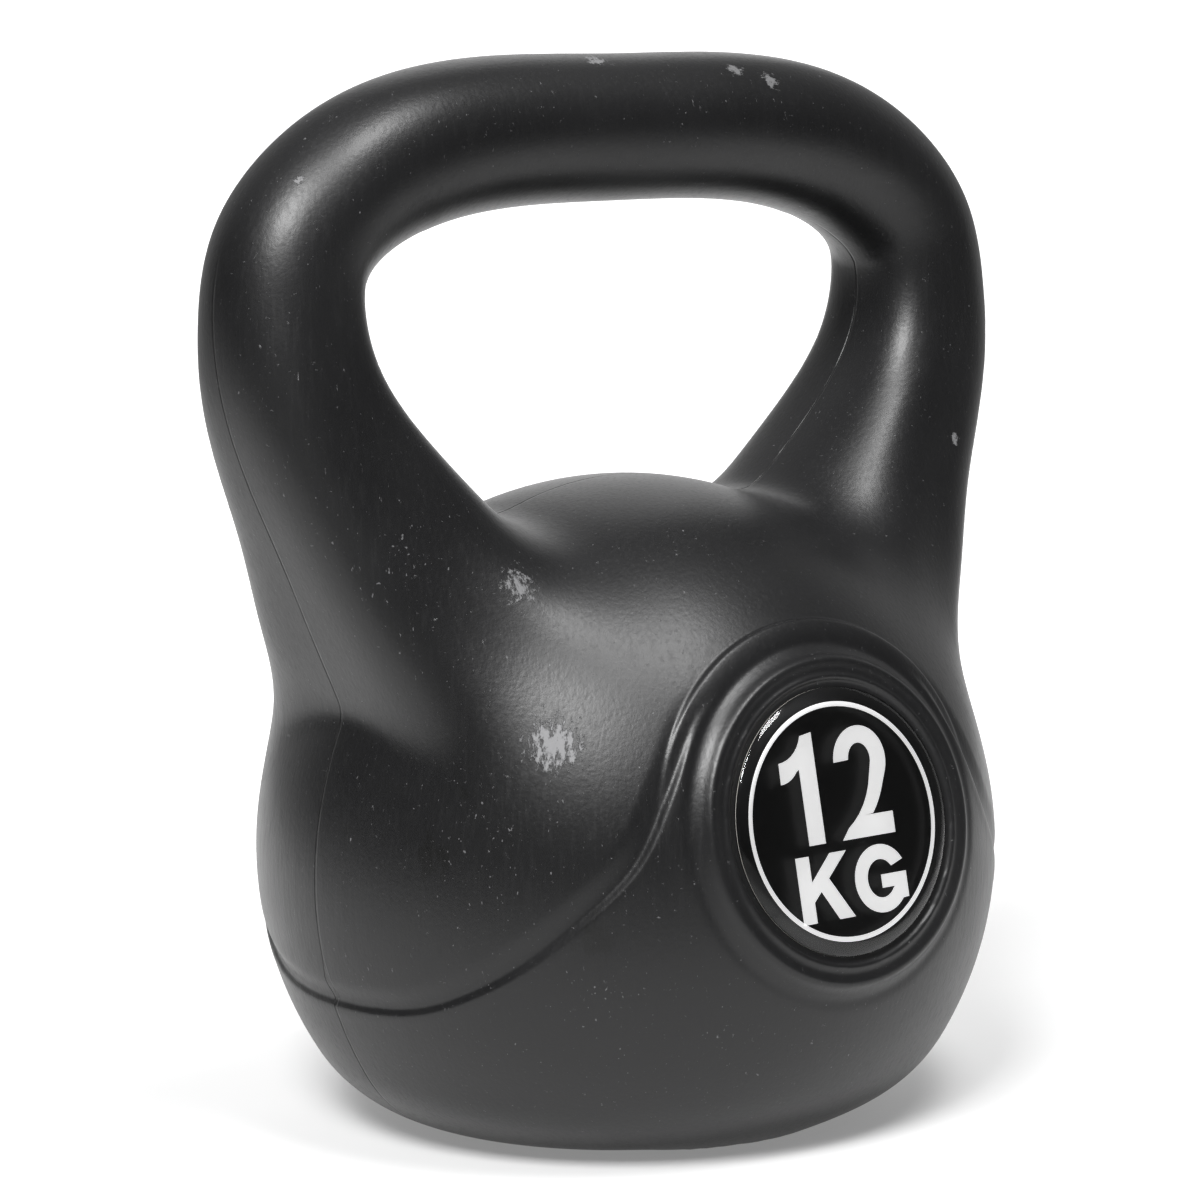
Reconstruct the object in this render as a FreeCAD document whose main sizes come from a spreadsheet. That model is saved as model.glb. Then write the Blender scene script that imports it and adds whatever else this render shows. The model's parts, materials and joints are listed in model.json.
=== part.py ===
"""Kettlebell: a blow-moulded plastic shell filled with cement, with a grip loop and two round labels.

The origin is the centre of the flat base, +Z points up and the grip loop lies in the XZ plane.
"""
import FreeCAD, Part
import math
import os
import re
import Sketcher
from FreeCAD import Placement, Rotation, Vector

SIZES = [
    ("BallRadius", 100.0, "ball, radius"),
    ("EquatorHeight", 70.8, "ball, height of its middle over the base"),
    ("BaseRadius", 51.5, "ball, radius of the flat base"),
    ("WallThick", 2.5, "shell, wall"),
    ("FloorThick", 4.0, "shell, floor"),
    ("FillGap", 0.2, "shrinkage gap between shell and fill"),
    ("CreaseRadius", 10.0, "blend between ball and handle"),
    ("LabelTilt", 11.0, "label axis, degrees over the horizontal"),
    ("SeatDistance", 92.6, "label seat, from the middle of the ball"),
    ("SeatRadius", 36.2, "label seat, radius"),
    ("LabelRadius", 34.2, "label, radius"),
    ("AdhesiveThick", 0.15, "label, adhesive layer"),
    ("FilmThick", 0.25, "label, printed film"),
    ("DomeEdge", 1.0, "label, clear dome at its edge"),
    ("DomeMiddle", 2.0, "label, clear dome at its middle"),
    ("BeadRadius", 40.6, "raised ring round the label, radius"),
    ("BeadTube", 2.4, "raised ring, radius of its round section"),
    ("BeadDistance", 90.4, "raised ring, from the middle of the ball"),
    ("HoleRadius", 20.0, "fill hole in the base, radius"),
    ("RecessRadius", 24.0, "recess of the plug's flange, radius"),
    ("RecessDepth", 1.7, "recess of the plug's flange, depth"),
    ("FlangeRadius", 23.5, "plug, radius of its flange"),
    ("FlangeThick", 1.3, "plug, thickness of its flange"),
    ("LipRadius", 20.7, "plug, radius of its snap lip"),
    ("LipTop", 6.0, "plug, top of its snap lip"),
    ("PlugTop", 9.0, "plug, top of its skirt"),
    ("PlugWall", 1.8, "plug, wall of its skirt"),
    ("FitGap", 0.05, "plug, clearance in the hole"),
    ("PocketRadius", 21.5, "fill, radius of the pocket over the plug"),
    ("PocketTop", 11.0, "fill, top of the pocket over the plug"),
    ("BarRadius", 4.0, "reinforcing bar, radius"),
    ("BarBend", 32.0, "reinforcing bar, bend to its axis"),
    ("BarTop", 258.0, "reinforcing bar, height of its top run"),
    ("BarCorner", 111.6, "reinforcing bar, corner from the middle"),
    ("BarLean", 19.1, "reinforcing bar, lean of its leg in degrees"),
    ("BarFoot", 90.0, "reinforcing bar, height of its lower end"),
    ("BarGap", 8.0, "reinforcing bar, upper end from the middle"),
]

# Sections of the right half of the handle, from inside the ball to the middle of the grip. Each has its
# place on the centreline, half width, half depth, and the fullness of its outer and its inner half.
STATION_KEYS = ("PosX", "PosZ", "HalfWidth", "HalfDepth", "OuterFull", "InnerFull")
STATIONS = [
    ("Root", 46.5, 105.8, 34.9, 47.7, 4.2, 2.1),
    ("Collar", 61.8, 132.8, 32.6, 45.0, 4.2, 2.2),
    ("Neck", 74.4, 150.9, 28.4, 38.0, 4.2, 2.3),
    ("Calf", 87.7, 170.5, 23.5, 30.0, 3.5, 2.9),
    ("Leg", 101.7, 197.5, 20.2, 23.7, 2.7, 2.9),
    ("Shoulder", 105.0, 217.7, 19.5, 21.7, 2.1, 2.6),
    ("Corner", 102.1, 232.8, 19.3, 21.2, 2.0, 2.3),
    ("Elbow", 92.6, 244.4, 19.7, 21.4, 2.0, 2.0),
    ("Rise", 72.7, 256.0, 20.2, 21.3, 2.0, 2.0),
    ("Palm", 43.7, 262.2, 19.9, 20.6, 2.0, 2.0),
    ("Grip", 0.0, 263.2, 19.4, 20.0, 2.0, 2.0),
]
SECTION_POINTS = 24
LOFT_DEGREE = 8

# Radius of the round edge between the ball and its flat base.
EDGE_RADIUS = "(BallRadius ^ 2 - EquatorHeight ^ 2 - BaseRadius ^ 2) / (2 * (BallRadius - EquatorHeight))"

doc = FreeCAD.newDocument("Kettlebell")
sheet = doc.addObject("Spreadsheet::Sheet", "Sizes")


# ---- sheet ----

def fill_sheet():
    rows = list(SIZES)
    for name, *values in STATIONS:
        rows += [(name + key, value, name + " " + key) for key, value in zip(STATION_KEYS, values)]
    for row, (alias, value, note) in enumerate(rows, start=1):
        sheet.set("A%d" % row, note)
        sheet.set("B%d" % row, str(value))
        sheet.setAlias("B%d" % row, alias)
    doc.recompute()


def size(alias):
    return float(getattr(sheet, alias))


def formula(text):
    """Turn bare aliases, which start with a capital letter, into references to the sheet."""
    return re.sub(r"\b([A-Z]\w*)", r"Sizes.\1", text)


def bind(obj, **formulas):
    for name, text in formulas.items():
        obj.setExpression(name, formula(text))
    return obj


# ---- bodies and sketches ----

def new_body(label):
    body = doc.addObject("PartDesign::Body", "Body")
    body.Label = label
    return body


def new_sketch(body, role="XZ_Plane"):
    plane = next(item for item in body.Origin.OriginFeatures if item.Role == role)
    sketch = body.newObject("Sketcher::SketchObject", "Sketch")
    sketch.AttachmentSupport = [(plane, "")]
    sketch.MapMode = "FlatFace"
    return sketch


def constrain(sketch, kind, *where, text=None):
    """Add a constraint; with a formula it is a dimension, driven by the sheet."""
    if text is None:
        sketch.addConstraint(Sketcher.Constraint(kind, *where))
        return
    doc.recompute()
    index = sketch.addConstraint(Sketcher.Constraint(kind, *where, evaluate(text)))
    sketch.setExpression("Constraints[%d]" % index, formula(text))


def evaluate(text):
    return float(sheet.evalExpression(text))


def add_polygon(sketch, corners):
    """Draw a closed polygon whose corners are pairs of formulas."""
    points = [Vector(evaluate(across), evaluate(up), 0) for across, up in corners]
    for start, end in zip(points, points[1:] + points[:1]):
        sketch.addGeometry(Part.LineSegment(start, end), False)
    count = len(corners)
    for index, (across, up) in enumerate(corners):
        constrain(sketch, "Coincident", index - 1 if index else count - 1, 2, index, 1)
        for kind, axis, text in (("DistanceX", -2, across), ("DistanceY", -1, up)):
            if text == "0":
                constrain(sketch, "PointOnObject", index, 1, axis)
            else:
                constrain(sketch, kind, -1, 1, index, 1, text=text)


def revolve(body, sketch):
    feature = body.newObject("PartDesign::Revolution", "Revolution")
    feature.Profile = sketch
    feature.ReferenceAxis = (sketch, ["V_Axis"])
    feature.Angle = 360
    return body


def join(kind, label, base, *tools):
    """Part boolean: Part::Cut of one tool, or Part::MultiFuse of all."""
    obj = doc.addObject(kind, label)
    if kind == "Part::Cut":
        obj.Base = base
        obj.Tool = tools[0]
    else:
        obj.Shapes = [base, *tools]
    obj.Label = label
    return obj


# ---- label axes ----

def on_label_axis(obj, side, distance):
    """Stand an object on the front (side -1) or back (side 1) label axis, at a distance formula."""
    obj.Placement = Placement(Vector(), Rotation(Vector(-side, 0, 0), 90 - size("LabelTilt")))
    obj.setExpression(".Placement.Base.y", formula("%d * cos(LabelTilt) * (%s)" % (side, distance)))
    obj.setExpression(".Placement.Base.z", formula("EquatorHeight + sin(LabelTilt) * (%s)" % distance))
    obj.setExpression(".Placement.Rotation.Angle", formula("90 - LabelTilt"))
    return obj


def disc(label, radius, height):
    obj = bind(doc.addObject("Part::Cylinder", label), Radius=radius, Height=height)
    obj.Label = label
    return obj


def seat_cutter(side, inset):
    cutter = disc("seat_cutter", "SeatRadius", "BallRadius - SeatDistance")
    return on_label_axis(cutter, side, "SeatDistance - (%s)" % inset)


# ---- ball and handle, used for the outside, the cavity and the fill ----

def ball_body(label, inset, floor):
    """Sphere rounded off to a flat base: two arcs turned about Z. Inset and floor are formulas.

    The round edge of the base touches the sphere from inside, and at the outside the base as well.
    """
    radius, edge_radius = size("BallRadius"), evaluate(EDGE_RADIUS)
    thick, bottom = evaluate(inset), evaluate(floor)
    ball_centre = Vector(0, size("EquatorHeight"), 0)
    edge_centre = Vector(size("BaseRadius"), edge_radius, 0)
    touch = (edge_centre - ball_centre).getAngle(Vector(1, 0, 0))
    fall = math.asin((edge_radius - bottom) / (edge_radius - thick))
    ball_arc = Part.ArcOfCircle(Part.Circle(ball_centre, Vector(0, 0, 1), radius - thick),
                                -touch, math.pi / 2)
    edge_arc = Part.ArcOfCircle(Part.Circle(edge_centre, Vector(0, 0, 1), edge_radius - thick),
                                -fall, -touch)
    foot, axis, top = edge_arc.StartPoint, Vector(0, bottom, 0), ball_arc.EndPoint
    body = new_body(label)
    body.Placement = Placement(Vector(), Rotation(Vector(0, 0, 1), 45))
    sketch = new_sketch(body)
    for curve in (ball_arc, edge_arc, Part.LineSegment(foot, axis), Part.LineSegment(axis, top)):
        sketch.addGeometry(curve, False)
    for geometry, point in ((0, 3), (0, 2), (2, 2)):
        constrain(sketch, "PointOnObject", geometry, point, -2)
    for first, second in (((1, 1), (2, 1)), ((2, 2), (3, 1)), ((3, 2), (0, 2))):
        constrain(sketch, "Coincident", *first, *second)
    constrain(sketch, "DistanceY", -1, 1, 0, 3, text="EquatorHeight")
    constrain(sketch, "Radius", 0, text="BallRadius - (%s)" % inset)
    constrain(sketch, "DistanceX", -1, 1, 1, 3, text="BaseRadius")
    constrain(sketch, "DistanceY", -1, 1, 1, 3, text=EDGE_RADIUS)
    constrain(sketch, "Tangent", 0, 1, 1, 2)
    constrain(sketch, "Horizontal", 2)
    if floor == "0":
        constrain(sketch, "Vertical", 1, 1, 1, 3)
    else:
        constrain(sketch, "DistanceY", -1, 1, 2, 2, text=floor)
    return revolve(body, sketch)


def handle_stations():
    """All sections from the right root over the grip to the left root."""
    right = [[size(name + key) for key in STATION_KEYS] for name, *_ in STATIONS]
    left = [[-x, *rest] for x, *rest in reversed(right[:-1])]
    return right + left


def section_wire(station, along, inset):
    """Closed curve square to the centreline: a superellipse with its own fullness out and in."""
    x, z, half_width, half_depth, outer_full, inner_full = station
    outward = Vector(along.z, 0, -along.x)
    points = []
    for index in range(SECTION_POINTS):
        turn = 2 * math.pi * index / SECTION_POINTS
        across, deep = math.cos(turn), math.sin(turn)
        full = outer_full if across > 0 else inner_full
        reach = (abs(across) ** full + abs(deep) ** full) ** (-1 / full)
        points.append(Vector(x, 0, z) + outward * (across * reach * (half_width - inset))
                      + Vector(0, deep * reach * (half_depth - inset), 0))
    curve = Part.BSplineCurve()
    curve.interpolate(points, PeriodicFlag=True)
    return Part.Wire(curve.toShape())


def handle_loft(label, inset):
    """Loft through the sections, which stay inside the ball at both ends."""
    stations = handle_stations()
    centreline = Part.BSplineCurve()
    centreline.interpolate([Vector(x, 0, z) for x, z, *_ in stations])
    loft = doc.addObject("Part::Loft", label)
    wires = []
    for station in stations:
        place = centreline.parameter(Vector(station[0], 0, station[1]))
        wire = doc.addObject("Part::Feature", label + "_section")
        wire.Shape = section_wire(station, centreline.tangent(place)[0], evaluate(inset))
        wires.append(wire)
    loft.Sections = wires
    loft.Solid = True
    loft.MaxDegree = LOFT_DEGREE
    return loft


def crease_edges(shape):
    """Numbers of the edges over the equator where two faces meet at an angle."""
    creases = []
    for number, edge in enumerate(shape.Edges, start=1):
        faces = [face for face in shape.Faces if any(edge.isSame(other) for other in face.Edges)]
        if len(faces) != 2 or edge.CenterOfMass.z < size("EquatorHeight"):
            continue
        middle = edge.valueAt((edge.FirstParameter + edge.LastParameter) / 2)
        normals = [face.normalAt(*face.Surface.parameter(middle)) for face in faces]
        if normals[0].getAngle(normals[1]) > math.radians(10):
            creases.append(number)
    return creases


def ball_with_handle(label, inset="0", floor="0"):
    """Ball and handle in one, with the crease between them rounded and the label seats cut off."""
    whole = join("Part::MultiFuse", label + "_sharp", ball_body(label + "_ball", inset, floor),
                 handle_loft(label + "_handle", inset))
    doc.recompute()
    rounded = doc.addObject("Part::Fillet", label + "_rounded")
    rounded.Base = whole
    radius = size("CreaseRadius") + evaluate(inset)
    rounded.Edges = [(number, radius, radius) for number in crease_edges(whole.Shape)]
    seats = join("Part::MultiFuse", label + "_seats", seat_cutter(-1, inset), seat_cutter(1, inset))
    return join("Part::Cut", label, rounded, seats)


# ---- shell ----

def bead(side):
    ring = bind(doc.addObject("Part::Torus", "bead"), Radius1="BeadRadius", Radius2="BeadTube")
    return on_label_axis(ring, side, "BeadDistance")


def fill_hole():
    hole = disc("hole_cutter", "HoleRadius", "2 * FloorThick")
    recess = disc("recess_cutter", "RecessRadius", "RecessDepth")
    return join("Part::MultiFuse", "base_cutter", hole, recess)


def make_shell():
    outside = join("Part::MultiFuse", "raised_outside", ball_with_handle("outside"), bead(-1), bead(1))
    cavity = ball_with_handle("cavity", "WallThick", "FloorThick")
    hollow = join("Part::Cut", "hollow_shell", outside, cavity)
    return join("Part::Cut", "shell", hollow, fill_hole())


# ---- inside ----

def make_bar(label, side):
    """Round bar with a leaning leg and a level top run, joined by a bend."""
    lean = math.radians(size("BarLean"))
    top, bend, corner = size("BarTop"), size("BarBend"), size("BarCorner")
    run = bend * math.tan((math.pi / 2 + lean) / 2)
    leg = Vector(-math.sin(lean), 0, -math.cos(lean))
    knee = Vector(corner, 0, top)
    foot = knee + leg * ((top - size("BarFoot")) / math.cos(lean))
    leg_end = knee + leg * run
    top_end = knee - Vector(run, 0, 0)
    bend_centre = top_end - Vector(0, 0, bend)
    bend_middle = bend_centre + (knee - bend_centre).normalize() * bend
    path = Part.Wire([
        Part.makeLine(foot, leg_end),
        Part.Arc(leg_end, bend_middle, top_end).toShape(),
        Part.makeLine(top_end, Vector(size("BarGap"), 0, top)),
    ])
    section = Part.Wire(Part.makeCircle(size("BarRadius"), foot, leg))
    solid = path.makePipeShell([section], True, True)
    bar = doc.addObject("Part::Feature", label)
    bar.Shape = solid if side > 0 else solid.mirror(Vector(), Vector(1, 0, 0))
    bar.Label = label
    return bar


def make_fill(bars):
    block = ball_with_handle("fill", "WallThick + FillGap", "FloorThick + FillGap")
    pocket = disc("plug_pocket", "PocketRadius", "PocketTop")
    voids = join("Part::MultiFuse", "fill_voids", pocket, *bars)
    return join("Part::Cut", "cement_core", block, voids)


def make_plug():
    """Cup with a flange below and a snap lip that catches over the shell's floor."""
    body = new_body("fill_plug")
    shank = "HoleRadius - FitGap"
    inner = "HoleRadius - FitGap - PlugWall"
    flange_bottom = "RecessDepth - FlangeThick"
    add_polygon(new_sketch(body), [
        ("0", flange_bottom),
        ("FlangeRadius", flange_bottom),
        ("FlangeRadius", "RecessDepth"),
        (shank, "RecessDepth"),
        (shank, "FloorThick + FitGap"),
        ("LipRadius", "FloorThick + FitGap"),
        ("LipRadius", "LipTop"),
        (shank, "PlugTop"),
        (inner, "PlugTop"),
        (inner, "RecessDepth + FitGap"),
        ("0", "RecessDepth + FitGap"),
    ])
    return revolve(body, body.Group[-1])


def make_dome(label):
    """Clear resin lens: level below, upright at the edge, an arc over the top."""
    body = new_body(label)
    sketch = new_sketch(body)
    radius, edge, middle = size("LabelRadius"), size("DomeEdge"), size("DomeMiddle")
    rise = middle - edge
    arc_radius = (radius ** 2 + rise ** 2) / (2 * rise)
    centre = Vector(0, middle - arc_radius, 0)
    half_angle = math.asin(radius / arc_radius)
    arc = Part.ArcOfCircle(Part.Circle(centre, Vector(0, 0, 1), arc_radius),
                           math.pi / 2 - half_angle, math.pi / 2)
    corners = [Vector(0, 0, 0), Vector(radius, 0, 0), Vector(radius, edge, 0)]
    sketch.addGeometry(Part.LineSegment(corners[0], corners[1]), False)
    sketch.addGeometry(Part.LineSegment(corners[1], corners[2]), False)
    sketch.addGeometry(arc, False)
    sketch.addGeometry(Part.LineSegment(Vector(0, middle, 0), corners[0]), False)
    for first, second in (((0, 2), (1, 1)), ((1, 2), (2, 1)), ((2, 2), (3, 1)), ((3, 2), (0, 1))):
        constrain(sketch, "Coincident", *first, *second)
    constrain(sketch, "Coincident", 0, 1, -1, 1)
    constrain(sketch, "PointOnObject", 2, 3, -2)
    constrain(sketch, "Horizontal", 0)
    constrain(sketch, "Vertical", 1)
    constrain(sketch, "Vertical", 3)
    constrain(sketch, "Distance", 0, text="LabelRadius")
    constrain(sketch, "Distance", 1, text="DomeEdge")
    constrain(sketch, "Distance", 3, text="DomeMiddle")
    return revolve(body, sketch)


def make_label(name, side):
    adhesive = disc(name + "_label_adhesive", "LabelRadius", "AdhesiveThick")
    film = disc(name + "_label_film", "LabelRadius", "FilmThick")
    dome = make_dome(name + "_label_dome")
    on_label_axis(adhesive, side, "SeatDistance")
    on_label_axis(film, side, "SeatDistance + AdhesiveThick")
    on_label_axis(dome, side, "SeatDistance + AdhesiveThick + FilmThick")
    return [adhesive, film, dome]


def check(pieces):
    """Stop before anything is written if an object failed or a piece isn't one valid solid."""
    for obj in doc.Objects:
        if {"Invalid", "Error"} & set(obj.State):
            raise RuntimeError(obj.Label + " failed: " + ", ".join(obj.State))
    for piece in pieces:
        if piece.Shape.isNull() or not piece.Shape.isValid() or len(piece.Shape.Solids) != 1:
            raise RuntimeError(piece.Label + " is not one valid solid")


def main():
    fill_sheet()
    bars = [make_bar("handle_bar_left", -1), make_bar("handle_bar_right", 1)]
    pieces = [make_shell(), make_fill(bars), *bars, make_plug()]
    pieces += make_label("front", -1) + make_label("back", 1)
    doc.recompute()
    check(pieces)
    os.makedirs("parts", exist_ok=True)
    for piece in pieces:
        piece.Shape.exportStep("parts/%s.step" % piece.Label)


main()
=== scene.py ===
"""Looks of the kettlebell: its moulded shell, its two domed labels, their print, and a pale studio."""
import json
import math

import bmesh
import bpy
import numpy as np
from mathutils import Matrix, Vector


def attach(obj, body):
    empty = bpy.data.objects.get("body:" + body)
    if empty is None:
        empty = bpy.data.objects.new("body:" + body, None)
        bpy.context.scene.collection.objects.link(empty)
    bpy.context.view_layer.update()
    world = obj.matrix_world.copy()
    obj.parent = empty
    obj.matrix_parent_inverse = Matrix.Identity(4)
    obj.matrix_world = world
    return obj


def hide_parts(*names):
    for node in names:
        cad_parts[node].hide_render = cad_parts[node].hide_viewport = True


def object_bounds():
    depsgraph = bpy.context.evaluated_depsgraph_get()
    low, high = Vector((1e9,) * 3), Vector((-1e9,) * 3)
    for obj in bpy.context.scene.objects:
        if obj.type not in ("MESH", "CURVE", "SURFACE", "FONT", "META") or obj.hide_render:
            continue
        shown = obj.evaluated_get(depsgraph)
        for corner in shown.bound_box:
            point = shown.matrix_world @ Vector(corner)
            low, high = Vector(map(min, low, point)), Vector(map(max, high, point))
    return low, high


MM = 0.001

# ---- driving dimensions, in millimetres ----

BALL_RADIUS = 100.0
BALL_MIDDLE = 70.8
BASE_RADIUS = 51.5
EDGE_RADIUS = (BALL_RADIUS ** 2 - BALL_MIDDLE ** 2 - BASE_RADIUS ** 2) / (2 * (BALL_RADIUS - BALL_MIDDLE))
LABEL_TILT = math.radians(11)
SEAT_DISTANCE = 92.6
SEAT_RADIUS = 36.2
SEAT_ROUND, SEAT_CLEAR = 2.0, 0.3

# Right half of the handle: centreline across and up, half width, half depth, outer and inner fullness
STATIONS = np.array([
    (46.5, 105.8, 34.9, 47.7, 4.2, 2.1),
    (61.8, 132.8, 32.6, 45.0, 4.2, 2.2),
    (74.4, 150.9, 28.4, 38.0, 4.2, 2.3),
    (87.7, 170.5, 23.5, 30.0, 3.5, 2.9),
    (101.7, 197.5, 20.2, 23.7, 2.7, 2.9),
    (105.0, 217.7, 19.5, 21.7, 2.1, 2.6),
    (102.1, 232.8, 19.3, 21.2, 2.0, 2.3),
    (92.6, 244.4, 19.7, 21.4, 2.0, 2.0),
    (72.7, 256.0, 20.2, 21.3, 2.0, 2.0),
    (43.7, 262.2, 19.9, 20.6, 2.0, 2.0),
    (0.0, 263.2, 19.4, 20.0, 2.0, 2.0),
])
BLEND_OUTER, BLEND_FLANK, BLEND_INNER = 5.0, 34.0, 14.0

# Wave line over a quarter of the ball: turn from the label in degrees, and height
WAVE = [(90, 42.0), (80, 42.4), (72, 44.0), (61.6, 50.0), (51.4, 60.0), (42.5, 72.5), (36, 84.0),
        (32, 97.0), (29, 108.0), (25.5, 118.6), (20, 126.0)]
WAVE_TURN_WEIGHT = 1.6
GROOVE_DEPTH, GROOVE_SLOPE, GROOVE_WALL = 1.15, 6.5, 2.4
LIP_RISE, LIP_BELOW, LIP_WIDTH = 0.1, 3.6, 1.8
GROOVE_FADE = 0.82
GROOVE_NEAR, GROOVE_FAR = 3, 12

# Raised rings round each label: radius, width and rise of each, and the turn from the top of the collar
COLLAR_RADIUS, COLLAR_RISE = 51.4, 0.9
COLLAR_OUTSIDE, COLLAR_INSIDE, COLLAR_FOOT = 1.3, 0.2, 45.5
COLLAR_CREST = 0.3
COLLAR_END, COLLAR_FULL = 88, 48
BEAD_RADIUS, BEAD_WIDTH, BEAD_RISE, BEAD_SHARPNESS = 40.8, 2.3, 1.48, 1.6
RIM_OUT, RIM_WIDTH, RIM_RISE = 0.6, 0.7, 0.35
VALLEY_RADIUS, VALLEY_WIDTH, VALLEY_DEPTH = 45.6, 1.6, 0.45
RING_REACH = 60

# Mesh: cell, corners of the grid, steps along the handle, and reach of the finer cells round the relief
CELL = 2.0
GRID_LOW, GRID_HIGH = (-132.0, -108.0, -5.0), (132.0, 108.0, 290.0)
LINE_STEPS, WAVE_STEPS = 361, 160
SPLIT_REACH, FINE_REACH = 7, 4
RING_INSIDE, RING_OUTSIDE = 2, 2.5
CORNER_ACROSS, CORNER_UP, CORNER_REACH, CORNER_ROUNDS = 77.0, 235.0, 13.0, 10

# Base: recess of the plug's flange and the fill hole
RECESS_RADIUS, RECESS_DEPTH, HOLE_RADIUS, FLOOR_THICK = 24.0, 1.7, 20.0, 4.0
RECESS_BEVEL, RECESS_MARGIN, RIM_SEGMENTS = 0.4, 3, 128
BASE_HEIGHT, FLAT_HEIGHT = 0.3, 0.05

# Label: print over the film, and the clear dome over both
LABEL_RADIUS = 34.2
FILM_TOP = SEAT_DISTANCE + 0.4
DOME_MIDDLE, DOME_ROUND, DOME_TURN, DOME_LIFT, DOME_STEPS = 2.0, 6.0, math.radians(45), 0.02, 24
PRINT_LIFT = 0.04
RING_RADIUS, RING_WIDTH = 29.8, 1.25
# Painted light: the print glows, so that it stays bright under the dome
INK_PAINTED_GLOW = 0.6

# Wear of the shell. Each scuff: place in millimetres, reach, stretch of its grain, strength
SCUFFS = [
    ((-67.4, -60.9, 112.5), 13.0, (1, 1, 0.35), 0.95),
    ((-63.1, -39.8, 148.9), 9.0, (1, 1, 0.5), 0.7),
    ((96.8, -27.7, 174.6), 3.2, (1, 1, 1), 0.8),
    ((-10.6, -8.5, 280.8), 6.0, (1, 0.4, 1), 0.7),
    ((32.3, -13.5, 277.5), 4.5, (0.6, 1, 1), 0.6),
    ((42.2, -16.1, 274.6), 4.5, (0.6, 1, 1), 0.6),
    ((-105.9, -13.0, 252.1), 2.4, (1, 1, 1), 0.7),
]
# Each smear and speckled patch: place and reach
SMEARS = [((-91.2, -39.4, 84.0), 13.0), ((-87.0, -47.0, 101.0), 6.0), ((-66.0, -74.0, 66.0), 12.0)]
SPECKLED = [((-82.0, -50.0, 88.0), 32.0), ((-66.0, -74.0, 52.0), 22.0), ((-92.0, -30.0, 160.0), 26.0)]
RAGGED = 3.0
SCUFF_GRAIN, SMEAR_GRAIN, SPECK_GRAIN = 700, 380, 950
SCUFF_STARTS, SCUFF_WHOLE = 2.0, 2.35
SMEAR_STARTS, SMEAR_WHOLE = 2.1, 2.4
SPECK_STARTS, SPECK_WHOLE, SPECK_CROWDING = 0.79, 0.83, 0.1
SCUFF_COLOUR, SCUFF_ROUGHNESS = (0.2, 0.2, 0.205, 1), 0.25
SMEAR_COLOUR, SPECK_COLOUR = (0.004, 0.004, 0.004, 1), (0.1, 0.1, 0.103, 1)

# Parting line, in metres: half width where it is deepest and where it ends, sway, and fading heights
SEAM_INNER, SEAM_OUTER, SEAM_SWAY = 0.0001, 0.0006, 0.0012
SEAM_FADES, SEAM_ENDS, SEAM_DEPTH = 0.215, 0.24, 0.0005
SEAM_COLOUR = (0.002, 0.002, 0.002, 1)
NICK, NICK_REACH, NICK_WIDTH = (-97.0, 0.0, 46.0), 8.0, 0.0011

# Plain colours, in linear light
SHELL_COLOUR, SHELL_ROUGHNESS = (0.0055, 0.0055, 0.0059, 1), 0.36
PLUG_COLOUR, PLUG_ROUGHNESS = (0.019, 0.019, 0.02, 1), 0.45
CEMENT_COLOURS = (0.22, 0.21, 0.19, 1), (0.42, 0.4, 0.37, 1)
STEEL_COLOURS = (0.3, 0.29, 0.28, 1), (0.46, 0.45, 0.44, 1)
GLUE_COLOURS = (0.5, 0.49, 0.45, 1), (0.62, 0.6, 0.56, 1)
FILM_COLOURS = (0.0035, 0.0035, 0.004, 1), (0.006, 0.006, 0.0065, 1)
INK_COLOURS = (0.8, 0.8, 0.8, 1), (0.9, 0.9, 0.9, 1)
PAPER_COLOURS = (0.6, 0.6, 0.6, 1), (0.62, 0.62, 0.62, 1)
# Painted shade on the paper towards the front and the sides of the studio
PAPER_PAINTED_SHADE_COLOUR = (0.18, 0.18, 0.18, 1)
WHITE = (1, 1, 1, 1)

# Camera: turn from the front, rise and roll, distance in metres and focal length in millimetres
CAMERA_TURN, CAMERA_RISE, CAMERA_ROLL = (math.radians(angle) for angle in (-37.13, 7.76, -1.31))
CAMERA_DISTANCE, CAMERA_LENS, SENSOR_WIDTH = 1.052, 117.0, 36
CAMERA_PIVOT, CAMERA_SHIFT = Vector((0, 0, 0.130)), (-0.0172, 0.0206)

# Studio, in metres and watts: soft boxes, brightness of sky, painted glow of the paper, and the paper's
# sweep
KEY_PLACE, KEY_SIDE, KEY_POWER = (-1.08, -0.74, 1.5), 0.7, 48
TOP_PLACE, TOP_SIDE, TOP_POWER = (0.0, -0.78, 1.85), 0.6, 24
SKY_LOW, SKY_HIGH = 0.05, 0.9
# The paper's glow is painted light: the paper is no lamp
SKY_SIDE, SKY_TOP, PAPER_PAINTED_GLOW = 0.06, 0.2, 1.0
PAPER_FRONT, PAPER_BEND, PAPER_RADIUS, PAPER_TOP, PAPER_HALF = -4.0, 1.6, 1.4, 4.0, 5

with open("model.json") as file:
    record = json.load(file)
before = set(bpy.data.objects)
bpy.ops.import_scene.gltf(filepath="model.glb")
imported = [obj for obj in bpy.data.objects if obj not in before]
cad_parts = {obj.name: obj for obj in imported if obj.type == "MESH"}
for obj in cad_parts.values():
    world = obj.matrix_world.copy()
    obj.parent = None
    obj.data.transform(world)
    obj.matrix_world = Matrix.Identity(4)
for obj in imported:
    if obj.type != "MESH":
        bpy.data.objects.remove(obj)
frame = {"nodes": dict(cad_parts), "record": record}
size_at_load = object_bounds()


# ---- shape of the shell: a field that is negative inside ----

def label_axes(side):
    """Right, up and outward axes of the front (side -1) or back (side 1) label."""
    up = np.array([0, -side * math.sin(LABEL_TILT), math.cos(LABEL_TILT)])
    out = np.array([0, side * math.cos(LABEL_TILT), math.sin(LABEL_TILT)])
    return np.array([-side, 0, 0]), up, out


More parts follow.
